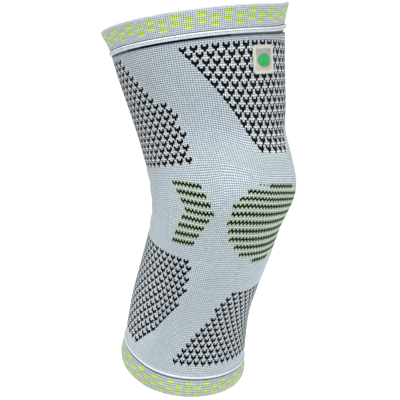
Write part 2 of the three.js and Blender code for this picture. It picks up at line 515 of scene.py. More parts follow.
@dataclass(frozen=True)
class YarnFinish:
    """Finish of knitted yarn, read from the piece's stitch map and yarn colours, with painted shade in the
    gaps between stitches.
    """

    name: str
    # painted shade at the ends of a stitch, in the grooves beside it and in the groove between its legs
    joint_shade: float = 1.0
    joint_floor: float = 0.62
    groove_shade: float = 0.4
    leg_shade: float = 0.12
    darkest: float = 0.97
    fibre_scale: float = 1500.0
    fibre_shade: float = 0.08
    stitch_shade: float = 0.07
    mottle_scale: float = 28.0
    mottle_shade: float = 0.04
    # shares of the bump that the stitch, its plies and its fibres take
    stitch_bump: float = 0.6
    ply_bump: float = 0.25
    fibre_bump: float = 0.25
    # ridges of the plies along a course's height and across a wale
    course_plies: float = 4.0
    wale_plies: float = 3.0
    bump_depth: float = 0.25 * MM
    bump_strength: float = 0.8
    roughness: float = 0.9
    sheen: float = 0.08
    sheen_roughness: float = 0.45
    specular: float = 0.12

    def material(self) -> Material:
        """Build the material.

        Returns:
            A procedural yarn material.
        """
        tree = NodeTree(self.name)
        wale, course = tree.stitch_place()
        # light is what the painted shade in the gaps leaves; the fibre, mottle and stitch tones are the
        # yarn's own uneven tone
        light = tree.math("SUBTRACT", 1.0, self.darkness(tree, wale, course))
        fibre = tree.noise(self.fibre_scale, 3.0)
        shade = tree.product(
            light,
            tree.spread(fibre, self.fibre_shade),
            tree.spread(tree.noise(self.mottle_scale, 2.0), self.mottle_shade),
            tree.spread(self.stitch_tone(tree, wale, course), self.stitch_shade),
        )
        yarn = tree.node("ShaderNodeAttribute")
        yarn.attribute_name = YARN_LAYER
        tree.colour(yarn.outputs["Color"], shade)
        lift = tree.math("MULTIPLY", light, self.stitch_bump)
        lift = tree.math("MULTIPLY_ADD", self.ply_wave(tree, wale, course), self.ply_bump, lift)
        lift = tree.math("MULTIPLY_ADD", fibre, self.fibre_bump, lift)
        tree.bump(lift, self.bump_depth, self.bump_strength)
        tree.set_shader({"Roughness": self.roughness, "Specular IOR Level": self.specular})
        tree.set_shader({"Sheen Weight": self.sheen, "Sheen Roughness": self.sheen_roughness})
        return tree.material

    def darkness(self, tree: NodeTree, wale: Socket, course: Socket) -> Socket:
        """Give the painted shade in the gaps between stitches, deepest where a wale and a course end
        together.

        Args:
            tree: Material in the making.
            wale: Place across the wales, in wales.
            course: Place down the courses, in courses.

        Returns:
            The socket of the darkness, from 0 for none.
        """
        joint = tree.math("POWER", self.nearness(tree, course, 0.0), 1.5)
        edge = tree.math("POWER", self.nearness(tree, wale, 0.0), 2.0)
        middle = tree.math("POWER", self.nearness(tree, wale, 0.5), 4.0)
        share = tree.math("MULTIPLY_ADD", edge, 1 - self.joint_floor, self.joint_floor)
        dark = tree.math("MULTIPLY", tree.math("MULTIPLY", joint, share), self.joint_shade)
        dark = tree.math("MULTIPLY_ADD", edge, self.groove_shade, dark)
        dark = tree.math("MULTIPLY_ADD", middle, self.leg_shade, dark)
        return tree.math("MINIMUM", dark, self.darkest)

    def nearness(self, tree: NodeTree, along: Socket, start: float) -> Socket:
        """Give 1 on each whole step along the map, moved by a start, and 0 halfway between two.

        Args:
            tree: Material in the making.
            along: Place along the map.
            start: How far the steps are moved.

        Returns:
            The socket of the nearness.
        """
        part = tree.math("FRACT", tree.math("ADD", along, start))
        away = tree.math("ABSOLUTE", tree.math("SUBTRACT", part, 0.5))
        return tree.math("MULTIPLY", away, 2.0)

    def ply_wave(self, tree: NodeTree, wale: Socket, course: Socket) -> Socket:
        """Give the slanting ridges of the twisted plies, from 0 to 1.

        Args:
            tree: Material in the making.
            wale: Place across the wales, in wales.
            course: Place down the courses, in courses.

        Returns:
            The socket of the ridges.
        """
        across = tree.math("MULTIPLY", wale, self.wale_plies)
        slant = tree.math("MULTIPLY_ADD", course, self.course_plies, across)
        turn = tree.math("SINE", tree.math("MULTIPLY", slant, 2 * math.pi))
        return tree.math("MULTIPLY_ADD", turn, 0.5, 0.5)

    def stitch_tone(self, tree: NodeTree, wale: Socket, course: Socket) -> Socket:
        """Give each stitch its own number from 0 to 1.

        Args:
            tree: Material in the making.
            wale: Place across the wales, in wales.
            course: Place down the courses, in courses.

        Returns:
            The socket of the number.
        """
        join = tree.node("ShaderNodeCombineXYZ")
        tree.link(tree.math("FLOOR", wale), join.inputs["X"])
        tree.link(tree.math("FLOOR", course), join.inputs["Y"])
        noise = tree.node("ShaderNodeTexWhiteNoise")
        noise.noise_dimensions = "2D"
        tree.link(join.outputs["Vector"], noise.inputs["Vector"])
        return noise.outputs["Value"]


@dataclass
class FlatGrid:
    """Flat grid of a knitted wall, with the column and row of each vertex, corner and face."""

    name: str
    columns: int
    rows: int
    mesh: bpy.types.Mesh = field(init=False)
    column: np.ndarray = field(init=False)
    row: np.ndarray = field(init=False)
    corner: np.ndarray = field(init=False)
    face_column: np.ndarray = field(init=False)
    face_row: np.ndarray = field(init=False)

    def __post_init__(self) -> None:
        """Make the grid and read where its parts are."""
        shape = bmesh.new()
        bmesh.ops.create_grid(shape, x_segments=self.columns, y_segments=self.rows, size=0.5)
        self.mesh = bpy.data.meshes.new(self.name)
        shape.to_mesh(self.mesh)
        shape.free()
        count = len(self.mesh.vertices)
        places = np.empty(count * 3)
        self.mesh.vertices.foreach_get("co", places)
        places = places.reshape(-1, 3) + 0.5
        self.column = np.rint(places[:, 0] * self.columns).astype(int)
        self.row = np.rint(places[:, 1] * self.rows).astype(int)
        self.corner = np.empty(len(self.mesh.loops), dtype=int)
        self.mesh.loops.foreach_get("vertex_index", self.corner)
        around = self.corner.reshape(-1, 4)
        self.face_column = self.column[around].min(axis=1)
        self.face_row = self.row[around].min(axis=1)

    def move(self, places: np.ndarray) -> None:
        """Give the vertices their places."""
        self.mesh.vertices.foreach_set("co", places.ravel())

    def add_map(self, name: str, across: np.ndarray, along: np.ndarray) -> None:
        """Add a UV map from a value per vertex."""
        layer = self.mesh.uv_layers.new(name=name)
        layer.uv.foreach_set("vector", np.stack([across, along], axis=-1)[self.corner].ravel())

    def add_yarns(self, colours: np.ndarray) -> None:
        """Add the yarn colours, one for each face."""
        layer = self.mesh.color_attributes.new(YARN_LAYER, "FLOAT_COLOR", "CORNER")
        layer.data.foreach_set("color", np.repeat(colours, 4, axis=0).ravel())

    def finish(self, materials: list[Material], slots: np.ndarray) -> Piece:
        """Close the wall, smooth it and make it an object.

        Args:
            materials: The piece's materials.
            slots: Index of the material of each face.

        Returns:
            The finished piece.
        """
        self.mesh.polygons.foreach_set("material_index", slots.astype(int))
        shape = bmesh.new()
        shape.from_mesh(self.mesh)
        bmesh.ops.remove_doubles(shape, verts=shape.verts, dist=1e-6)
        open_edges = [edge for edge in shape.edges if edge.is_boundary]
        if open_edges:
            bmesh.ops.holes_fill(shape, edges=open_edges, sides=0)
        bmesh.ops.recalc_face_normals(shape, faces=shape.faces)
        for face in shape.faces:
            face.smooth = True
        for edge in shape.edges:
            sides = {face.material_index if len(face.verts) == 4 else -1 for face in edge.link_faces}
            edge.smooth = len(sides) == 1
        shape.to_mesh(self.mesh)
        shape.free()
        for material in materials:
            self.mesh.materials.append(material)
        return add_object(self.name, self.mesh)


@dataclass(frozen=True)
class StitchRelief:
    """Shape of a stitch: how far its crowns and grooves stand from the knit's face."""

    crown: float = 0.2 * MM
    crown_joint: float = -0.08 * MM
    wale_groove: float = -0.42 * MM
    wale_groove_joint: float = -0.5 * MM
    middle_groove: float = -0.24 * MM
    middle_groove_joint: float = -0.34 * MM
    slant: float = 0.22

    def offset(self, column: np.ndarray, row: np.ndarray) -> np.ndarray:
        """Give the offset of each grid point, with four columns to a wale and two rows to a course.

        Args:
            column: Columns of grid points.
            row: Rows of grid points.

        Returns:
            The offset of each point.
        """
        middle = (self.wale_groove, self.crown, self.middle_groove, self.crown)
        joint = (self.wale_groove_joint, self.crown_joint, self.middle_groove_joint, self.crown_joint)
        return np.where(row % 2 == 1, np.array(middle)[column % 4], np.array(joint)[column % 4])

    def shift(self, column: np.ndarray) -> np.ndarray:
        """Give how far down the V of a stitch hangs at each column, in courses."""
        return np.array([-self.slant, 0.0, self.slant, 0.0])[column % 4]


@dataclass
class KnitSheet:
    """Stretch of the knitted tube: V-shaped stitches outside and a plain wall inside."""

    name: str
    form: LegForm
    lie: WornLie
    first_angle: float
    last_angle: float
    wales: int
    courses: int
    flat: tuple[float, float]
    wall: float = 2 * MM
    inner_rows: int = 8
    tucked: bool = True
    tuck_rise: float = 0.45 * MM
    tuck_depth: float = 0.7 * MM
    # painted light: how much brighter the denser knit of the knee and the calf is made, for the smaller
    # shade between its stitches, and the patterned yarns' share of that
    knee_painted_light: float = 0.28
    pattern_part: float = 0.35
    # heights in mm between which that ends
    gain_until: float = 25
    gain_end: float = 95
    # painted shade on the tucked edge, the sheet's first row, which lies under the edge above it
    tuck_painted_shade: float = 0.2
    # how far the lower half of each course is painted darker than the upper, painted shade below and painted
    # light above
    course_painted_shading: float = 0.07
    # share of the bake map's height that holds the outside, and where the inside starts on it
    outer_part: float = 0.72
    inner_from: float = 0.74
    relief: StitchRelief = StitchRelief()

    def course_height(self, course: np.ndarray, turned: np.ndarray) -> np.ndarray:
        """Give the height of a course at an angle from the pattern's middle."""
        raise NotImplementedError

    def yarns(self, column: np.ndarray, row: np.ndarray) -> np.ndarray:
        """Give the yarn of each face, as its place in the palette, by its column and row."""
        raise NotImplementedError

    def turned_at(self, column: np.ndarray) -> np.ndarray:
        """Give the angle of a column from the pattern's middle."""
        return self.first_angle + (self.last_angle - self.first_angle) * column / (4 * self.wales)

    def build(self, outside: Material, inside: Material, hems: tuple[Piece, ...]) -> Piece:
        """Build the sheet as one closed wall.

        Args:
            outside: Material of the face with the V-shaped stitches.
            inside: Material of the face towards the leg.
            hems: Narrow pieces that are knitted on to the sheet; not used.

        Returns:
            The finished piece.
        """
        outer_rows = 2 * self.courses
        rows = outer_rows + self.inner_rows + 2
        grid = FlatGrid(self.name, 4 * self.wales, rows)
        row = grid.row % rows
        outer = row <= outer_rows
        inner_share = np.clip((row - outer_rows - 1) / self.inner_rows, 0, 1)
        course = np.where(outer, row / 2, self.courses * (1 - inner_share))
        shift = np.where(outer & (row > 0), self.relief.shift(grid.column), 0)
        turned = self.turned_at(grid.column)
        height = self.course_height(course + shift, turned)
        angle = self.lie.angle(turned, height)
        height = self.lie.height(height, angle)
        offset = np.where(outer, self.relief.offset(grid.column, row), -self.wall)
        if self.tucked:
            offset = np.where(row == 0, -self.tuck_depth, offset)
            height = np.where(row == 0, height + self.tuck_rise, height)
        grid.move(self.form.wrap(angle, height, offset))
        self.add_maps(grid, rows, outer_rows)
        grid.add_yarns(self.colours(grid, outer_rows))
        piece = grid.finish([outside, inside], np.where(grid.face_row < outer_rows, 0, 1))
        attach(piece, "root")
        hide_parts("sleeve_body")
        return piece

    def add_maps(self, grid: FlatGrid, rows: int, outer_rows: int) -> None:
        """Add the stitch map and the bake map to the grid.

        Args:
            grid: The sheet's grid.
            rows: Rows of faces in all.
            outer_rows: Rows of faces on the outside.
        """
        outer = grid.row <= outer_rows
        past = grid.row - outer_rows - 1
        course = np.where(outer, grid.row / 2, self.courses * (1 - past / self.inner_rows))
        grid.add_map(STITCH_MAP, grid.column / 4, course)
        inner_part = self.inner_from + (1 - self.inner_from) * past / (rows - outer_rows - 1)
        bake = np.where(outer, self.outer_part * grid.row / outer_rows, inner_part)
        grid.add_map(BAKE_MAP, grid.column / grid.columns, bake)

    def colours(self, grid: FlatGrid, outer_rows: int) -> np.ndarray:
        """Give the colour of each face: plain inside, and by the sheet's yarns outside with painted light
        and shade mixed in.

        Args:
            grid: The sheet's grid.
            outer_rows: Rows of faces on the outside.

        Returns:
            A linear colour for each face.
        """
        yarns = self.yarns(grid.face_column, np.minimum(grid.face_row, outer_rows - 1))
        height = self.course_height(grid.face_row / 2, self.turned_at(grid.face_column)) / MM
        # painted light on the knee's and calf's denser knit, painted shade on the first row, and painted
        # light and shade on the halves of each course
        gain = self.knee_painted_light * (1 - smooth_step(self.gain_until, self.gain_end, height))
        gain *= np.where(yarns == Yarn.GREY, 1, self.pattern_part)
        gain -= self.tuck_painted_shade * (grid.face_row == 0)
        gain += self.course_painted_shading * np.where(grid.face_row % 2 == 0, 1, -1)
        outer = (grid.face_row < outer_rows)[:, None]
        return np.where(outer, np.minimum(PALETTE[yarns] * (1 + gain[:, None]), 1), PALETTE[Yarn.GREY])


@dataclass(frozen=True)
class PanelEdge:
    """Slanting edge of a houndstooth panel, the same left and right of the pattern's middle."""

    # height in mm, rising, and angle in degrees from the pattern's middle
    rows: Knots
    at_back: bool

    def holds(self, height: np.ndarray, turned: np.ndarray) -> np.ndarray:
        """Tell which points lie in the panel.

        Args:
            height: Heights of the points.
            turned: Angles from the pattern's middle.

        Returns:
            Whether each point lies in the panel.
        """
        table = np.array(self.rows)
        edge = np.interp(height / MM, table[:, 0], table[:, 1])
        beside = folded(turned) >= edge if self.at_back else folded(turned) <= edge
        return beside & (height / MM >= table[0, 0]) & (height / MM <= table[-1, 0])


def read_chart(chart: tuple[str, ...], column: np.ndarray, row: np.ndarray) -> np.ndarray:
    """Tell where a repeated chart has a black cell.

    Args:
        chart: Lines of the chart from the top down, with an X for black.
        column: Columns to read, with the chart repeated sideways.
        row: Rows to read, with the chart repeated downwards.

    Returns:
        Whether each cell is black.
    """
    cells = np.array([[cell == "X" for cell in line] for line in chart])
    return cells[row % len(chart), column % len(chart[0])]


@dataclass(frozen=True)
class Houndstooth:
    """Chart of the black marks: each is a Y four wales wide and three courses tall, in a half drop."""

    # four cells to a wale and two to a course
    chart: tuple[str, ...] = (
        "XXXX....XXXX....",
        "XXXXX..XXXXX....",
        "XXXXXXXXXXXX....",
        ".XXXXXXXXXX.....",
        "....XXXX........",
        "....XXXX........",
    )
    middle: int = 6

    def yarns(
        self,
        sheet: KnitSheet,
        from_middle: np.ndarray,
        row: np.ndarray,
        first: int,
        panels: tuple[PanelEdge, ...],
    ) -> np.ndarray:
        """Read the chart on a sheet.

        Args:
            sheet: The knitted sheet.
            from_middle: Columns of faces, counted from the pattern's middle.
            row: Rows of faces, counted down the sheet.
            first: Row on which a row of marks starts.
            panels: Panels that hold the marks.

        Returns:
            The yarn of each face.
        """
        wide, tall = len(self.chart[0]), len(self.chart)
        mark_row = np.floor_divide(row - first, tall)
        drop = np.where(mark_row % 2 == 0, wide // 2, 0)
        across = from_middle + self.middle + drop
        pitch = (sheet.last_angle - sheet.first_angle) / (4 * sheet.wales)
        turned = (np.floor_divide(across, wide) * wide - drop) * pitch
        height = sheet.course_height((first + tall * (mark_row + 0.5)) / 2, turned)
        inside = np.any([panel.holds(height, turned) for panel in panels], axis=0)
        black = inside & read_chart(self.chart, across, row - first)
        return np.where(black, Yarn.BLACK, np.where(inside, Yarn.LIGHT, Yarn.GREY))


@dataclass(frozen=True)
class Zigzag:
    """Chart of a black zigzag: a period of two wales, two and a half courses tall."""

    chart: tuple[str, ...] = (
        ".XXX....",
        "XXXXX..X",
        "XXXXXXXX",
        "X..XXXXX",
        "....XXX.",
    )

    def yarns(self, column: np.ndarray, step: np.ndarray, along: np.ndarray, near: np.ndarray) -> np.ndarray:
        """Read the chart.

        Args:
            column: Columns of faces.
            step: Rows of faces from the top of the zigzag.
            along: Whether a face lies along a zigzag.
            near: Whether a face lies on the pale ground round the zigzags.

        Returns:
            The yarn of each face.
        """
        within = along & (step >= 0) & (step < len(self.chart))
        black = within & read_chart(self.chart, column, step)
        ground = np.where(near, Yarn.PALE, Yarn.GREY)
        return np.where(black, Yarn.BLACK, np.where(within, Yarn.MINT, ground))


# heights in mm at which the thigh's knit ends at the front and at the back, and at which the knit of the
# back of the knee ends and that of the calf starts
THIGH_FRONT_END = 28.5
THIGH_BACK_END = 40.5
KNEE_BACK_END = -31
CALF_START = -56

FRONT_THIGH_PANEL = PanelEdge(
    (
        (41, 16.5), (48.5, 17.5), (61.5, 25.2), (75.4, 33.5),
        (88, 40.7), (99.6, 47.9), (111.6, 54.8), (128, 66),
    ),
    at_back=False,
)
BACK_THIGH_PANEL = PanelEdge(
    (
        (41, 67.2), (58, 67.2), (66.4, 68.8), (78, 74.3), (90.2, 83),
        (98.3, 90), (111.3, 101), (124.3, 109), (128, 111),
    ),
    at_back=True,
)
FRONT_CALF_PANEL = PanelEdge(
    (
        (-125, 62), (-116.9, 56.7), (-106.9, 49.2), (-102.3, 44.8), (-85.5, 36.5),
        (-79.6, 33.5), (-69.3, 28), (-61.1, 22), (CALF_START, 19.5),
    ),
    at_back=False,
)
BACK_CALF_PANEL = PanelEdge(
    ((-125, 107), (-115, 101.5), (-97, 90), (-78.5, 75.8), (-66.7, 69), (KNEE_BACK_END, 69)),
    at_back=True,
)


def back_share(turned: np.ndarray) -> np.ndarray:
    """Give 0 at the front of the thigh, where its courses are stretched, and 1 at its sides and back."""
    return smooth_step(20, 70, folded(turned))


def knee_line(turned: np.ndarray) -> np.ndarray:
    """Give the height at which the thigh's knit ends, lower at the front."""
    return (THIGH_FRONT_END + (THIGH_BACK_END - THIGH_FRONT_END) * back_share(turned)) * MM


def course_table(*rows: tuple[float, float]) -> tuple[np.ndarray, np.ndarray]:
    """Turn rows of a course and its height in mm into two arrays, in courses and in metres."""
    table = np.array(rows, dtype=float)
    return table[:, 0], table[:, 1] * MM


@dataclass
class ThighKnit(KnitSheet):
    """Knit of the thigh, with a houndstooth panel at the front and one at the back."""

    plain_courses: int = 3
    # stronger painted light and shade on the halves of the thigh's courses
    course_painted_shading: float = 0.17

    def course_height(self, course: np.ndarray, turned: np.ndarray) -> np.ndarray:
        """Give the height of a course, with the courses further apart at the front.

        Args:
            course: Courses, counted down the sheet.
            turned: Angles from the pattern's middle.

        Returns:
            The height of each course, in metres.
        """
        lowest, plain = self.courses, self.plain_courses
        front = course_table((0, 133.9), (plain, 129.6), (45, 41.4), (lowest, THIGH_FRONT_END))
        back = course_table((0, 133.9), (plain, 129.4), (lowest, THIGH_BACK_END))
        share = back_share(turned)
        return straight_reading(course, *front) * (1 - share) + straight_reading(course, *back) * share

    def yarns(self, column: np.ndarray, row: np.ndarray) -> np.ndarray:
        """Give the yarn of each face, with a painted shadow line under the welt.

        Args:
            column: Columns of faces.
            row: Rows of faces, counted down the sheet.

        Returns:
            The yarn of each face.
        """
        panels = (FRONT_THIGH_PANEL, BACK_THIGH_PANEL)
        yarn = Houndstooth().yarns(self, column - 2 * self.wales, row, 2 * self.plain_courses, panels)
        # the first row is painted dim as the shadow under the welt
        return np.where(row == 0, Yarn.DIM, yarn)


@dataclass
class CalfKnit(KnitSheet):
    """Knit of the calf, with a houndstooth panel at the front and one at the back."""

    marked_courses: int = 42

    def course_height(self, course: np.ndarray, turned: np.ndarray) -> np.ndarray:
        """Give the height of a course."""
        table = course_table((0, CALF_START), (self.marked_courses, -124.6), (self.courses, -132.3))
        return straight_reading(course, *table)

    def yarns(self, column: np.ndarray, row: np.ndarray) -> np.ndarray:
        """Give the yarn of each face."""
        panels = (FRONT_CALF_PANEL, BACK_CALF_PANEL)
        return Houndstooth().yarns(self, column - 2 * self.wales, row, 0, panels)


@dataclass
class CalfTopKnit(KnitSheet):
    """Knit at the sides and back of the upper calf, where the back panel starts."""

    def course_height(self, course: np.ndarray, turned: np.ndarray) -> np.ndarray:
        """Give the height of a course."""
        return straight_reading(course, *course_table((0, KNEE_BACK_END), (self.courses, CALF_START)))

    def yarns(self, column: np.ndarray, row: np.ndarray) -> np.ndarray:
        """Give the yarn of each face, with the last row of marks ending where the calf's knit starts.

        Args:
            column: Columns of faces.
            row: Rows of faces, counted down the sheet.

        Returns:
            The yarn of each face.
        """
        pitch = (self.last_angle - self.first_angle) / (4 * self.wales)
        from_middle = column + round(self.first_angle / pitch)
        mark = len(Houndstooth.chart)
        mark_rows = 2 * self.courses // mark
        first = 2 * self.courses - (mark_rows + mark_rows % 2) * mark
        return Houndstooth().yarns(self, from_middle, row, first, (BACK_CALF_PANEL,))


@dataclass
class ZigzagKnit(KnitSheet):
    """Knit with zigzags one under another."""

    first_zigzag: int = 5
    zigzag_step: int = 4
    # courses over which the sheet's top follows the slanting end of the thigh's knit
    top_courses: int = 12

    def followed(
        self, height: np.ndarray, top: np.ndarray, course: np.ndarray, turned: np.ndarray
    ) -> np.ndarray:
        """Lift the first courses from a sheet's own top to the end of the thigh's knit.

        Args:
            height: Heights of the courses by the sheet's own table.
            top: Height of the first course by that table.
            course: The courses.
            turned: Angles from the pattern's middle.

        Returns:
            The heights with the first courses lifted.
        """
        return height + (knee_line(turned) - top) * np.clip(1 - course / self.top_courses, 0, 1)

    def sorted_rows(self, row: np.ndarray, count: int) -> tuple[np.ndarray, ...]:
        """Sort rows of faces by the zigzag they belong to.

        Args:
            row: Rows of faces.
            count: Number of zigzags.

        Returns:
            The zigzag's number, the row from its top, whether it is one of the zigzags, and whether the row
            lies among them.
        """
        line, step = np.divmod(row - 2 * self.first_zigzag, 2 * self.zigzag_step)
        last_row = 2 * (self.first_zigzag + self.zigzag_step * count - 2)
        among = (row >= 2 * self.first_zigzag - 1) & (row <= last_row)
        return np.clip(line, 0, count - 1), step, (line >= 0) & (line < count), among


@dataclass
class KneecapKnit(ZigzagKnit):
    """Knit over the kneecap: short rows with an oval of black and pale zigzags."""

    # wales on each side of the middle that the zigzag fills, and that its last dots reach
    zigzags: tuple[tuple[int, int], ...] = (
        (9, 15),
        (21, 21),
        (25, 25),
        (28, 28),
        (28, 28),
        (29, 29),
        (27, 27),
        (25, 25),
        (21, 21),
        (17, 17),
        (7, 10),
    )
    # rows and columns of the zigzag's chart that a single dot takes
    dot_rows: tuple[int, ...] = (1, 2)
    dot_columns: tuple[int, ...] = (5, 6)

    def course_height(self, course: np.ndarray, turned: np.ndarray) -> np.ndarray:
        """Give the height of a course.

        Args:
            course: Courses, counted down the sheet.
            turned: Angles from the pattern's middle.

        Returns:
            The height of each course, in metres.
        """
        upper = ((0, THIGH_FRONT_END), (6, 20.2), (18, 8.3), (26, -1.2))
        lower = ((34, -11.9), (42, -22.6), (46, -27.8), (self.courses, CALF_START))
        knots = course_table(*upper, *lower)
        return self.followed(smooth_reading(course, *knots), knots[1][0], course, turned)

    def yarns(self, column: np.ndarray, row: np.ndarray) -> np.ndarray:
        """Give the yarn of each face.

        Args:
            column: Columns of faces.
            row: Rows of faces, counted down the sheet.

        Returns:
            The yarn of each face.
        """
        from_middle = column - 2 * self.wales
        away = np.abs(from_middle + 0.5) / 4
        line, step, in_rows, among = self.sorted_rows(row, len(self.zigzags))
        full, dots = np.array(self.zigzags)[line].T
        yarn = Zigzag().yarns(from_middle, step, in_rows & (away < full), among & (away < dots + 1))
        dotted = in_rows & (away >= full) & (away < dots) & np.isin(step, self.dot_rows)
        dotted &= np.isin(from_middle % len(Zigzag.chart[0]), self.dot_columns)
        return np.where(dotted, Yarn.BLACK, yarn)


@dataclass
class KneeBackKnit(ZigzagKnit):
    """Knit at the sides and back of the knee, with a chevron of zigzags on each side."""

    first_zigzag: int = 8
    zigzag_length: int = 16
    top_courses: int = 8
    # wales from the sheet's edge to the near end of each zigzag
    zigzags: tuple[int, ...] = (11, 9, 7, 5, 7, 9, 11, 13)
    tip_row: int = 3
    # columns of pale ground past each end of a zigzag
    ground: int = 5
    # angles between which the courses go over from how they lie by the kneecap to how they lie further back
    near_angle: float = 58
    far_angle: float = 88

    def course_height(self, course: np.ndarray, turned: np.ndarray) -> np.ndarray:
        """Give the height of a course, which slopes between the kneecap and the side of the knee.

        Args:
            course: Courses, counted down the sheet.
            turned: Angles from the pattern's middle.

        Returns:
            The height of each course, in metres.
        """
        end = (self.courses, KNEE_BACK_END)
        near = course_table((0, 37), (9, 23), (21, 4.6), (25, -0.4), (37, -16.6), end)
        far = course_table((0, THIGH_BACK_END), (9, 28.2), (21, 9.2), (25, 3), (37, -17.4), end)
        share = smooth_step(self.near_angle, self.far_angle, folded(turned))
        height = smooth_reading(course, *near) * (1 - share) + smooth_reading(course, *far) * share
        top = near[1][0] * (1 - share) + far[1][0] * share
        return self.followed(height, top, course, turned)

    def yarns(self, column: np.ndarray, row: np.ndarray) -> np.ndarray:
        """Give the yarn of each face.

        Args:
            column: Columns of faces.
            row: Rows of faces, counted down the sheet.

        Returns:
            The yarn of each face.
        """
        from_edge = np.minimum(column, 4 * self.wales - 1 - column)
        line, step, in_rows, among = self.sorted_rows(row, len(self.zigzags))
        start = 4 * np.array(self.zigzags)[line]
        end = start + 4 * self.zigzag_length
        along = (from_edge >= start) & (from_edge < end) & in_rows
        near = (from_edge >= start - self.ground) & (from_edge < end + self.ground) & among
        turned_over = np.where(line <= self.tip_row, 0, len(Zigzag.chart[0]) // 2)
        return Zigzag().yarns(from_edge + turned_over, step, along, near)


@dataclass
class SleeveBody:
    """Knitted tube between the two welts, in sheets that meet along courses and wales."""

    form: LegForm
    lie: WornLie
    thigh_wales: int = 204
    calf_wales: int = 196
    kneecap_wales: int = 64
    knee_back_wales: int = 186
    # calf wales from the pattern's middle to the edge of the kneecap's sheet
    kneecap_reach: int = 27

    def sheets(self) -> list[KnitSheet]:
        """List the sheets from the thigh down.

        Returns:
            The sheets, not yet built.
        """
        half = self.kneecap_reach * 360 / self.calf_wales
        whole = (self.form, self.lie, -180, 180)
        front = (self.form, self.lie, -half, half)
        back = (self.form, self.lie, half, 360 - half)
        back_wales = self.calf_wales - 2 * self.kneecap_reach
        return [
            ThighKnit("thigh_knit", *whole, self.thigh_wales, 57, (0.42, 0.1), inner_rows=5, tucked=False),
            KneecapKnit("kneecap_knit", *front, self.kneecap_wales, 63, (0.105, 0.105)),
            KneeBackKnit("knee_back_knit", *back, self.knee_back_wales, 46, (0.26, 0.072), inner_rows=12),
            CalfTopKnit("calf_top_knit", *back, back_wales, 15, (0.255, 0.026), inner_rows=4),
            CalfKnit("calf_knit", *whole, self.calf_wales, 47, (0.34, 0.078)),
        ]

    def build(self, outside: Material, inside: Material, hems: dict[str, Piece]) -> list[Piece]:
        """Build every sheet of the tube.

        Args:
            outside: Material of the face with the stitches.
            inside: Material of the face towards the leg.
            hems: The welt at the edge of a sheet, by the sheet's name.

        Returns:
            The finished pieces.
        """
        pieces = []
        for sheet in self.sheets():
            hem = hems.get(sheet.name)
            pieces.append(sheet.build(outside, inside, (hem,) if hem else ()))
        return pieces


@dataclass
class BandProfile:
    """Rows of a band from its top down the outside and up the inside."""

    height: np.ndarray
    offset: np.ndarray
    outer: int


@dataclass
class Band:
    """Knitted band round the leg, with its own profile and chart."""

    name: str
    node: str
    slot_name: str
    form: LegForm
    lie: WornLie
    wales: int
    first_angle: float = -180.0

    def profile(self) -> BandProfile:
        """Give the rows of the band's wall."""
        raise NotImplementedError

    def stitch(self, column: np.ndarray, row: np.ndarray) -> np.ndarray:
        """Give how far the stitches stand out at each grid point."""
        raise NotImplementedError

    def yarns(self, leg: np.ndarray, row: np.ndarray) -> np.ndarray:
        """Give the yarn of each face by its stitch leg and its row."""
        raise NotImplementedError

    def build(self, outside: Material, inside: Material) -> Piece:
        """Build the band as one closed wall.

        Args:
            outside: Material of the outer face.
            inside: Material of the face towards the leg.

        Returns:
            The finished piece.
        """
        profile = self.profile()
        rows = len(profile.height)
        grid = FlatGrid(self.name, 4 * self.wales, rows)
        row = grid.row % rows
        turned = self.first_angle + 360 * grid.column / grid.columns
        height = profile.height[row]
        offset = profile.offset[row] + np.where(row <= profile.outer, self.stitch(grid.column, row), 0)
        angle = self.lie.angle(turned, height)
        grid.move(self.form.wrap(angle, self.lie.height(height, angle), offset))
        grid.add_map(STITCH_MAP, grid.column / 4, grid.row / 2)
        grid.add_map(BAKE_MAP, grid.column / grid.columns, grid.row / rows)
        grid.add_yarns(PALETTE[self.yarns(grid.face_column // 2, grid.face_row)])
        piece = grid.finish([outside, inside], np.where(grid.face_row < profile.outer, 0, 1))
        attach(piece, "root")
        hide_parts(self.node)
        return piece


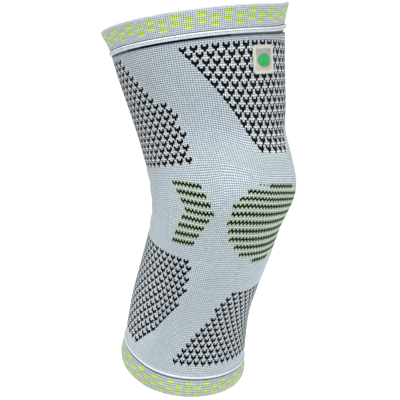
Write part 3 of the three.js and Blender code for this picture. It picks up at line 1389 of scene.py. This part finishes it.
@dataclass
class Cuff(Band):
    """Elastic cuff with two staggered rows of lime blocks, its rounded edge at the top."""

    flat: tuple[float, float] = (0.46, 0.018)
    foot: float = 139.5 * MM
    tall: float = 17.2 * MM
    wall: float = 2.6 * MM
    courses: int = 11
    # share of the height from the foot up, and the offset in mm
    lie_rows: Knots = ((0, 0), (0.2, 0.42), (0.4, 1.05), (0.6, 1.82), (0.8, 2.7), (1, 3.5))
    # rows of faces from the top at which the blocks of a high column start, and how far a low column drops
    block_starts: tuple[int, ...] = (2, 9)
    drop: int = 4
    high_first: bool = True
    rim_rows: int = 2
    # offset in mm of each of a wale's four columns, and of the middle and the end of a stitch
    ribs: tuple[float, ...] = (-0.3, 0.12, -0.1, 0.12)
    stitch_middle: float = 0.06
    stitch_end: float = -0.16
    # legs of a column, from the top row of a block down: G ground, L lime, B bright lime, W pale rim
    block: tuple[str, ...] = (
        "GGLLLLLLLLGG",
        "GGLLLLLLLLGG",
        "GGLLLLLLLLGG",
        "GGBBBBBBBBGG",
        "GGBBBBBBBBGG",
        "GWWWWWWWWWWG",
    )

    def profile(self) -> BandProfile:
        """Give the rows: the outer courses, the inner wall and the rounded top edge.

        Returns:
            The profile of the wall.
        """
        height, out, inner_height, inner_out, turn = self.walls(self.foot)
        edge_height = height[0] + self.wall / 2 * np.sin(turn)
        edge_out = out[0] - self.wall / 2 * (1 + np.cos(turn))
        heights = np.concatenate([height, inner_height, edge_height])
        return BandProfile(heights, np.concatenate([out, inner_out, edge_out]), 2 * self.courses)

    def walls(self, foot: float) -> tuple[np.ndarray, ...]:
        """Work out both walls of the cuff.

        Args:
            foot: Height at which the straight part starts.

        Returns:
            Heights and offsets of the outer wall, downwards, the same of the inner wall, upwards, and the
            angles of the points on the rounded edge.
        """
        straight = self.tall - self.wall / 2
        table = np.array(self.lie_rows)
        down = np.linspace(1, 0, 2 * self.courses + 1)
        up = np.linspace(0, 1, 5)
        out, inner_out = (np.interp(share, table[:, 0], table[:, 1]) * MM for share in (down, up))
        turn = np.linspace(0, math.pi, 6)[1:-1]
        return foot + straight * down, out, foot + straight * up, inner_out - self.wall, turn

    def build(self, outside: Material, inside: Material) -> Piece:
        """Args:
            outside: Material of the outer face.
            inside: Material of the face towards the leg.

        Returns:
            The finished piece.
        """
        piece = super().build(outside, inside)
        return piece

    def stitch(self, column: np.ndarray, row: np.ndarray) -> np.ndarray:
        """Give the low round stitches of the elastic knit."""
        along = np.where(row % 2 == 1, self.stitch_middle, self.stitch_end)
        return (np.array(self.ribs)[column % 4] + along) * MM

    def yarns(self, leg: np.ndarray, row: np.ndarray) -> np.ndarray:
        """Give the yarn of each stitch leg.

        Args:
            leg: Stitch legs, two to a wale.
            row: Rows of faces, counted down the outside.

        Returns:
            The yarn of each face.
        """
        column_legs = len(self.block[0])
        low = (leg // column_legs) % 2 == (1 if self.high_first else 0)
        lowered = row - np.where(low, self.drop, 0)
        names = {"G": Yarn.CUFF, "L": Yarn.LIME, "B": Yarn.BRIGHT, "W": Yarn.RIM}
        chart = np.array([[names[cell] for cell in line] for line in self.block])
        rim = (row < self.rim_rows) | (row >= 2 * self.courses)
        yarn = np.where(rim, Yarn.RIM, Yarn.CUFF)
        for start in self.block_starts:
            within = (lowered >= start) & (lowered < start + len(self.block)) & (row < 2 * self.courses)
            cell = chart[np.clip(lowered - start, 0, len(self.block) - 1), leg % column_legs]
            yarn = np.where(within & (cell != Yarn.CUFF), cell, yarn)
        return yarn


@dataclass
class LowerCuff(Cuff):
    """Elastic cuff at the calf, whose rounded edge is at the bottom."""

    flat: tuple[float, float] = (0.34, 0.016)
    foot: float = -152 * MM
    tall: float = 15.3 * MM
    wall: float = 2.4 * MM
    courses: int = 7
    lie_rows: Knots = ((0, 0.14), (0.15, 0.98), (0.4, 1.4), (0.7, 0.98), (1, 0))
    block_starts: tuple[int, ...] = (1, 7)
    drop: int = 3
    high_first: bool = False
    rim_rows: int = 0
    block: tuple[str, ...] = (
        "GGLLLLLLLLGG",
        "GGBBBBBBBBGG",
        "GGBBBBBBBBGG",
        "GGLLLLLLLLGG",
        "GWWWWWWWWWWG",
    )

    def profile(self) -> BandProfile:
        """Give the rows: the outer courses, the rounded foot and the inner wall.

        Returns:
            The profile of the wall.
        """
        low = self.foot + self.wall / 2
        height, out, inner_height, inner_out, turn = self.walls(low)
        edge_height = low - self.wall / 2 * np.sin(turn)
        edge_out = out[-1] - self.wall / 2 * (1 - np.cos(turn))
        heights = np.concatenate([height, edge_height, inner_height])
        return BandProfile(heights, np.concatenate([out, edge_out, inner_out]), 2 * self.courses)


@dataclass
class Welt(Band):
    """Raised rolled edge with a row of stitches and a dark seam, with painted shade in its grooves and a
    painted shadow under it.
    """

    top: float = 0.0
    # drop below the top and offset in mm, with the yarn of the face below, dark rows being painted shade
    rows: tuple[tuple[float, float, Yarn], ...] = ()
    wall: float = 2 * MM
    dotted_row: int = 4
    # angles between which the painted shadow under the edge is deepest
    shadow: tuple[float, float] = (-92, -40)
    shadow_fade: float = 12
    # offset in mm of each of a wale's four columns
    ribs: tuple[float, ...] = (-0.12, 0.03, -0.05, 0.03)

    def profile(self) -> BandProfile:
        """Give the rows of the rolled edge and its inner wall.

        Returns:
            The profile of the wall.
        """
        drop = np.array([row[0] for row in self.rows]) * MM
        offset = np.array([row[1] for row in self.rows]) * MM
        heights = np.concatenate([self.top - drop, [self.top - drop[-1], self.top]])
        return BandProfile(heights, np.concatenate([offset, [-self.wall, -self.wall]]), len(self.rows) - 1)

    def stitch(self, column: np.ndarray, row: np.ndarray) -> np.ndarray:
        """Give the fine ribs of the rolled edge."""
        inside = (row > 0) & (row < len(self.rows) - 1)
        return np.where(inside, np.array(self.ribs)[column % 4], 0) * MM

    def yarns(self, leg: np.ndarray, row: np.ndarray) -> np.ndarray:
        """Give the yarn of each stitch leg, with the painted shadow under the edge.

        Args:
            leg: Stitch legs, two to a wale.
            row: Rows of faces, counted down the outside.

        Returns:
            The yarn of each face.
        """
        by_row = np.array([entry[2] for entry in self.rows] + [Yarn.WHITE] * 2)
        dotted = (row == self.dotted_row) & (leg % 2 == 0)
        yarn = np.where(dotted, Yarn.SHADE, by_row[row])
        # black rows paint the shadow under the edge: past the deepest angles they turn to dark grey and then
        # to dim grey painted shade
        turned = self.first_angle + 180 * leg / self.wales
        away = np.abs(turned - sum(self.shadow) / 2) - (self.shadow[1] - self.shadow[0]) / 2
        faded = np.where(away < self.shadow_fade, Yarn.SHADE, Yarn.DIM)
        return np.where((yarn == Yarn.BLACK) & (away > 0), faded, yarn)


@dataclass
class Label:
    """Small film label on the front of the thigh, with a plain green disc."""

    form: LegForm
    width: float = 24 * MM
    height: float = 22.5 * MM
    middle: float = 114.5 * MM
    gap: float = 0.45 * MM
    thickness: float = 0.9 * MM
    corner: float = 3 * MM
    border: float = 1.3 * MM
    border_rise: float = 0.35 * MM
    # shares of the border from where it falls to the middle, and over which the label's edge is rounded
    rim_share: float = 0.6
    edge_share: float = 0.3
    mark_radius: float = 5.2 * MM
    mark_stretch: float = 1.35
    mark_drop: float = 0.8 * MM
    mark_rise: float = 0.35 * MM
    ring_share: float = 0.12
    ring_depth: float = 0.15 * MM
    steps: int = 60

    def lay(self, places: np.ndarray) -> np.ndarray:
        """Lay points of the label's plane on the thigh, the third number being the height off the knit.

        Args:
            places: One row of three numbers for each point.

        Returns:
            One row of x, y and z for each point.
        """
        height = self.middle + places[:, 1]
        side = self.form.half_sizes(height)[2]
        angle = np.degrees(np.arcsin(places[:, 0] / side))
        return self.form.wrap(angle, height, places[:, 2])

    def rounded(self, places: np.ndarray) -> np.ndarray:
        """Bring the points of a rectangle in to its rounded corners.

        Args:
            places: Points of the rectangle.

        Returns:
            The points within the rounded corners.
        """
        inner = np.array([self.width, self.height]) / 2 - self.corner
        over = np.maximum(np.abs(places[:, :2]) - inner, 0)
        reach = np.hypot(over[:, 0], over[:, 1])
        scale = np.where(reach > self.corner, self.corner / np.maximum(reach, 1e-9), 1)
        kept = np.minimum(np.abs(places[:, :2]), inner) + over * scale[:, None]
        return np.sign(places[:, :2]) * kept

    def film(self, material: Material) -> Piece:
        """Build the film with its raised border.

        Args:
            material: The film's material.

        Returns:
            The finished piece.
        """
        grid = FlatGrid("label_film", self.steps, self.steps)
        share = np.stack([grid.column, grid.row], axis=-1) / self.steps - 0.5
        flat = share * np.array([self.width, self.height])
        edge = np.minimum(self.width / 2 - np.abs(flat[:, 0]), self.height / 2 - np.abs(flat[:, 1]))
        rim = 1 - smooth_step(self.rim_share * self.border, self.border, edge)
        fall = 1 - smooth_step(0, self.edge_share * self.border, edge)
        rise = self.gap + self.thickness + self.border_rise * rim - 0.5 * self.thickness * fall
        flat = self.rounded(flat)
        grid.move(self.lay(np.column_stack([flat, rise])))
        grid.add_map(STITCH_MAP, grid.column / self.steps, grid.row / self.steps)
        grid.add_map(BAKE_MAP, grid.column / self.steps, grid.row / self.steps)
        shape = bmesh.new()
        shape.from_mesh(grid.mesh)
        bmesh.ops.recalc_face_normals(shape, faces=shape.faces)
        outward = sum(face.normal.y for face in shape.faces)
        if outward > 0:
            bmesh.ops.reverse_faces(shape, faces=shape.faces)
        bmesh.ops.solidify(shape, geom=shape.faces, thickness=self.thickness)
        for face in shape.faces:
            face.smooth = True
        shape.to_mesh(grid.mesh)
        shape.free()
        return self.piece("label_film", grid.mesh, material)

    def mark(self, material: Material) -> Piece:
        """Build the plain disc with its raised ring.

        Args:
            material: The disc's material.

        Returns:
            The finished piece.
        """
        ring = self.ring_share * self.mark_radius
        shape = bmesh.new()
        bmesh.ops.create_circle(shape, cap_ends=True, segments=64, radius=self.mark_radius)
        bmesh.ops.inset_region(shape, faces=shape.faces[:], thickness=ring, depth=0)
        grown = bmesh.ops.extrude_face_region(shape, geom=shape.faces[:])
        lifted = [part for part in grown["geom"] if isinstance(part, bmesh.types.BMVert)]
        bmesh.ops.translate(shape, verts=lifted, vec=(0, 0, self.mark_rise))
        middle = []
        for face in shape.faces:
            on_top = face.normal.z > 0.9 and face.calc_center_median().z > self.mark_rise / 2
            if on_top and len(face.verts) > 4:
                middle.append(face)
        bmesh.ops.inset_region(shape, faces=middle, thickness=ring, depth=-self.ring_depth)
        bmesh.ops.recalc_face_normals(shape, faces=shape.faces)
        mesh = bpy.data.meshes.new("label_mark")
        shape.to_mesh(mesh)
        shape.free()
        places = np.empty(len(mesh.vertices) * 3)
        mesh.vertices.foreach_get("co", places)
        places = places.reshape(-1, 3)
        places[:, 0] *= self.mark_stretch
        places[:, 1] -= self.mark_drop
        places[:, 2] += self.gap + self.thickness
        mesh.vertices.foreach_set("co", self.lay(places).ravel())
        return self.piece("label_mark", mesh, material)

    def piece(self, name: str, mesh: bpy.types.Mesh, material: Material) -> Piece:
        """Make a mesh a piece that stands for the label.

        Args:
            name: Name of the piece.
            mesh: Its mesh.
            material: Its material.

        Returns:
            The finished piece.
        """
        mesh.materials.append(material)
        piece = add_object(name, mesh)
        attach(piece, "root")
        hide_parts("label")
        return piece


@dataclass(frozen=True)
class FilmFinish:
    """Finish of the label's soft film: a cream border round a greyer, faintly striped middle."""

    name: str = "label_film"
    border: Colour = (188, 191, 178)
    upper: Colour = (128, 135, 137)
    lower: Colour = (180, 167, 157)
    # share of the label's side that the border takes, and how sharply it ends
    border_share: float = 0.11
    border_end: float = 25.0
    stripes: float = 11.0
    stripe_shade: float = 0.16
    cloud_scale: float = 260.0
    cloud_shade: float = 0.2
    grain_scale: float = 900.0
    grain_depth: float = 0.1 * MM
    grain_strength: float = 0.4
    roughness: float = 0.42

    def material(self) -> Material:
        """Build the film's material.

        Returns:
            A procedural film material that reads the label's own map.
        """
        tree = NodeTree(self.name)
        across, up = tree.stitch_place()
        middle = tree.mix(tree.math("POWER", up, 1.5), linear(self.lower), linear(self.upper))
        inside = tree.product(self.within(tree, across), self.within(tree, up))
        wave = tree.math("SINE", tree.math("MULTIPLY", across, 2 * math.pi * self.stripes))
        stripes = tree.math("MULTIPLY_ADD", wave, self.stripe_shade / 2, 1.0 - self.stripe_shade / 2)
        clouds = tree.spread(tree.noise(self.cloud_scale, 3.0), self.cloud_shade)
        tree.colour(tree.mix(inside, linear(self.border), middle), tree.product(stripes, clouds))
        tree.bump(tree.noise(self.grain_scale, 2.0), self.grain_depth, self.grain_strength)
        tree.set_shader({"Roughness": self.roughness})
        return tree.material

    def within(self, tree: NodeTree, along: Socket) -> Socket:
        """Give 1 away from both borders and 0 on them.

        Args:
            tree: Material in the making.
            along: Place across or along the label.

        Returns:
            The socket of the share.
        """
        edge = tree.math("SUBTRACT", 0.5, tree.math("ABSOLUTE", tree.math("SUBTRACT", along, 0.5)))
        steep = tree.math("MULTIPLY", tree.math("SUBTRACT", edge, self.border_share), self.border_end)
        return tree.math("MINIMUM", tree.math("MAXIMUM", steep, 0.0), 1.0)


@dataclass(frozen=True)
class MarkFinish:
    """Finish of the green disc, printed a little unevenly."""

    name: str = "label_mark"
    base: Colour = (4, 116, 52)
    light: Colour = (24, 176, 84)
    cloud_scale: float = 420.0
    roughness: float = 0.45

    def material(self) -> Material:
        """Build the disc's material.

        Returns:
            A procedural print material.
        """
        tree = NodeTree(self.name)
        colour = tree.mix(tree.noise(self.cloud_scale, 3.0), linear(self.base), linear(self.light))
        tree.link(colour, tree.shader.inputs["Base Color"])
        tree.set_shader({"Roughness": self.roughness})
        return tree.material


@dataclass(frozen=True)
class Lamp:
    """Soft square lamp, with its direction in degrees from the front of the sleeve."""

    name: str
    azimuth: float
    elevation: float
    size: float
    power: float


@dataclass
class Studio:
    """Camera, lights, pale floor and white surroundings."""

    azimuth: float = -46.8
    elevation: float = 10.5
    distance: float = 0.881
    focal_pixels: float = 1034.0
    picture_side: float = 400.0
    sensor: float = 36.0
    origin_pixel: tuple[float, float] = (217.4, 206.8)
    lamps: tuple[Lamp, ...] = (Lamp("key_lamp", -55, 58, 1.0, 24), Lamp("fill_lamp", 25, 20, 1.2, 4))
    lamp_distance: float = 1.6
    floor_height: float = -0.42
    floor_size: float = 6.0
    floor_tone: float = 0.9
    floor_roughness: float = 0.9
    floor_glow: float = 0.55
    # strength of the white surroundings as the sleeve and the camera see them
    world_light: float = 0.55
    world_seen: float = 1.1

    def stand(
        self, name: str, data: bpy.types.ID, azimuth: float, elevation: float, distance: float
    ) -> bpy.types.Object:
        """Stand a camera or a lamp in a direction, facing the sleeve.

        Args:
            name: Name of the new object.
            data: Its camera or lamp.
            azimuth: Degrees round from the front of the sleeve.
            elevation: Degrees above the middle of the knee.
            distance: Distance from the middle of the knee.

        Returns:
            The new object.
        """
        turn, rise = math.radians(azimuth), math.radians(elevation)
        way = Vector((math.sin(turn) * math.cos(rise), -math.cos(turn) * math.cos(rise), math.sin(rise)))
        thing = add_object(name, data)
        thing.location = way * distance
        thing.rotation_euler = (-way).to_track_quat("-Z", "Y").to_euler()
        return thing

    def camera(self) -> None:
        """Set the camera at the photograph's viewpoint."""
        data = bpy.data.cameras.new("camera")
        data.sensor_width = self.sensor
        data.lens = self.focal_pixels * self.sensor / self.picture_side
        data.shift_x = (self.picture_side / 2 - self.origin_pixel[0]) / self.picture_side
        data.shift_y = (self.origin_pixel[1] - self.picture_side / 2) / self.picture_side
        camera = self.stand("camera", data, self.azimuth, self.elevation, self.distance)
        bpy.context.scene.camera = camera

    def hang(self, lamp: Lamp) -> None:
        """Hang a lamp.

        Args:
            lamp: The lamp to hang.
        """
        data = bpy.data.lights.new(lamp.name, "AREA")
        data.size = lamp.size
        data.energy = lamp.power
        self.stand(lamp.name, data, lamp.azimuth, lamp.elevation, self.lamp_distance)

    def floor(self) -> None:
        """Lay the plain pale floor."""
        shape = bmesh.new()
        bmesh.ops.create_grid(shape, x_segments=1, y_segments=1, size=self.floor_size)
        bmesh.ops.translate(shape, verts=shape.verts, vec=(0, 0, self.floor_height))
        mesh = bpy.data.meshes.new("floor")
        shape.to_mesh(mesh)
        shape.free()
        tree = NodeTree("pale_floor")
        tree.set_shader({"Base Color": (self.floor_tone,) * 3 + (1,), "Roughness": self.floor_roughness})
        tree.set_shader({"Emission Color": (1, 1, 1, 1), "Emission Strength": self.floor_glow})
        mesh.materials.append(tree.material)
        floor = add_object("floor", mesh)

    def world(self) -> None:
        """Set white surroundings, brighter to the camera than to the sleeve."""
        world = bpy.data.worlds.new("studio")
        world.use_nodes = True
        nodes, links = world.node_tree.nodes, world.node_tree.links
        back = nodes["Background"]
        back.inputs["Color"].default_value = (1, 1, 1, 1)
        path = nodes.new("ShaderNodeLightPath")
        level = nodes.new("ShaderNodeMath")
        level.operation = "MULTIPLY_ADD"
        level.inputs[1].default_value = self.world_seen - self.world_light
        level.inputs[2].default_value = self.world_light
        links.new(path.outputs["Is Camera Ray"], level.inputs[0])
        links.new(level.outputs[0], back.inputs["Strength"])
        bpy.context.scene.world = world
        bpy.context.scene.view_settings.view_transform = "Standard"

    def build(self) -> None:
        """Set up everything round the sleeve."""
        self.camera()
        for lamp in self.lamps:
            self.hang(lamp)
        self.floor()
        self.world()


def upper_bands(form: LegForm, lie: WornLie) -> list[Band]:
    """List the bands at the thigh edge.

    Args:
        form: Form of the leg.
        lie: Lie of the knit on it.

    Returns:
        The cuff and the welt, not yet built.
    """
    # the top row paints shade in the seam groove, and the black rows and the last row paint the shadow under
    # the welt
    welt_rows = (
        (0.0, -1.2, Yarn.SHADE),
        (0.4, 0.1, Yarn.WHITE),
        (0.9, 1.1, Yarn.WHITE),
        (1.4, 1.5, Yarn.RIM),
        (1.8, 1.35, Yarn.GREY),
        (2.3, 1.1, Yarn.RIM),
        (2.8, 1.1, Yarn.GREY),
        (3.6, 0.7, Yarn.GREY),
        (3.9, 0.0, Yarn.BLACK),
        (4.3, -1.5, Yarn.BLACK),
        (6.6, -1.6, Yarn.SHADE),
    )
    cuff = Cuff("upper_cuff_knit", "upper_cuff", "cuff_knit", form, lie, 264, first_angle=-181.6)
    welt = Welt("upper_welt_knit", "upper_welt", "welt_knit", form, lie, 220, top=139.3 * MM, rows=welt_rows)
    return [cuff, welt]


def lower_bands(form: LegForm, lie: WornLie) -> list[Band]:
    """List the bands at the calf edge.

    Args:
        form: Form of the leg.
        lie: Lie of the knit on it.

    Returns:
        The welt and the cuff, not yet built.
    """
    # the dark grey rows at the foot paint the shade in the groove between the welt and the cuff
    welt_rows = (
        (0.0, -0.3, Yarn.GREY),
        (0.5, 0.0, Yarn.GREY),
        (0.9, 0.2, Yarn.RIM),
        (1.3, 0.8, Yarn.WHITE),
        (1.9, 1.0, Yarn.GREY),
        (2.5, 0.95, Yarn.GREY),
        (2.9, 0.7, Yarn.SHADE),
        (3.4, 0.3, Yarn.SHADE),
        (3.9, -1.0, Yarn.SHADE),
    )
    names = ("lower_welt_knit", "lower_welt", "welt_knit")
    welt = Welt(*names, form, lie, 220, top=-132.5 * MM, rows=welt_rows, dotted_row=1)
    return [welt, LowerCuff("lower_cuff_knit", "lower_cuff", "cuff_knit", form, lie, 240)]


def main() -> None:
    """Build the sleeve and its studio, and note every piece."""
    logging.basicConfig(level=logging.INFO, format="%(name)s: %(message)s")
    form = LegForm()
    lie = WornLie()
    knit = YarnFinish("body_knit").material()
    lining = YarnFinish("knit_inside", groove_shade=0.25, joint_shade=0.5).material()
    cuff = YarnFinish("cuff_knit", groove_shade=0.55, joint_shade=0.6).material()
    welt = YarnFinish("welt_knit", groove_shade=0.25, joint_shade=0.1).material()
    bands = {}
    for band in upper_bands(form, lie) + lower_bands(form, lie):
        bands[band.node] = band.build(welt if isinstance(band, Welt) else cuff, lining)
    hems = {"thigh_knit": bands["upper_welt"], "calf_knit": bands["lower_welt"]}
    pieces = [*bands.values(), *SleeveBody(form, lie).build(knit, lining, hems)]
    label = Label(form)
    pieces.append(label.film(FilmFinish().material()))
    pieces.append(label.mark(MarkFinish().material()))
    for piece in pieces:
        LOG.info("%s: %d faces", piece.name, len(piece.data.polygons))
    Studio().build()


if __name__ == "__main__":
    main()
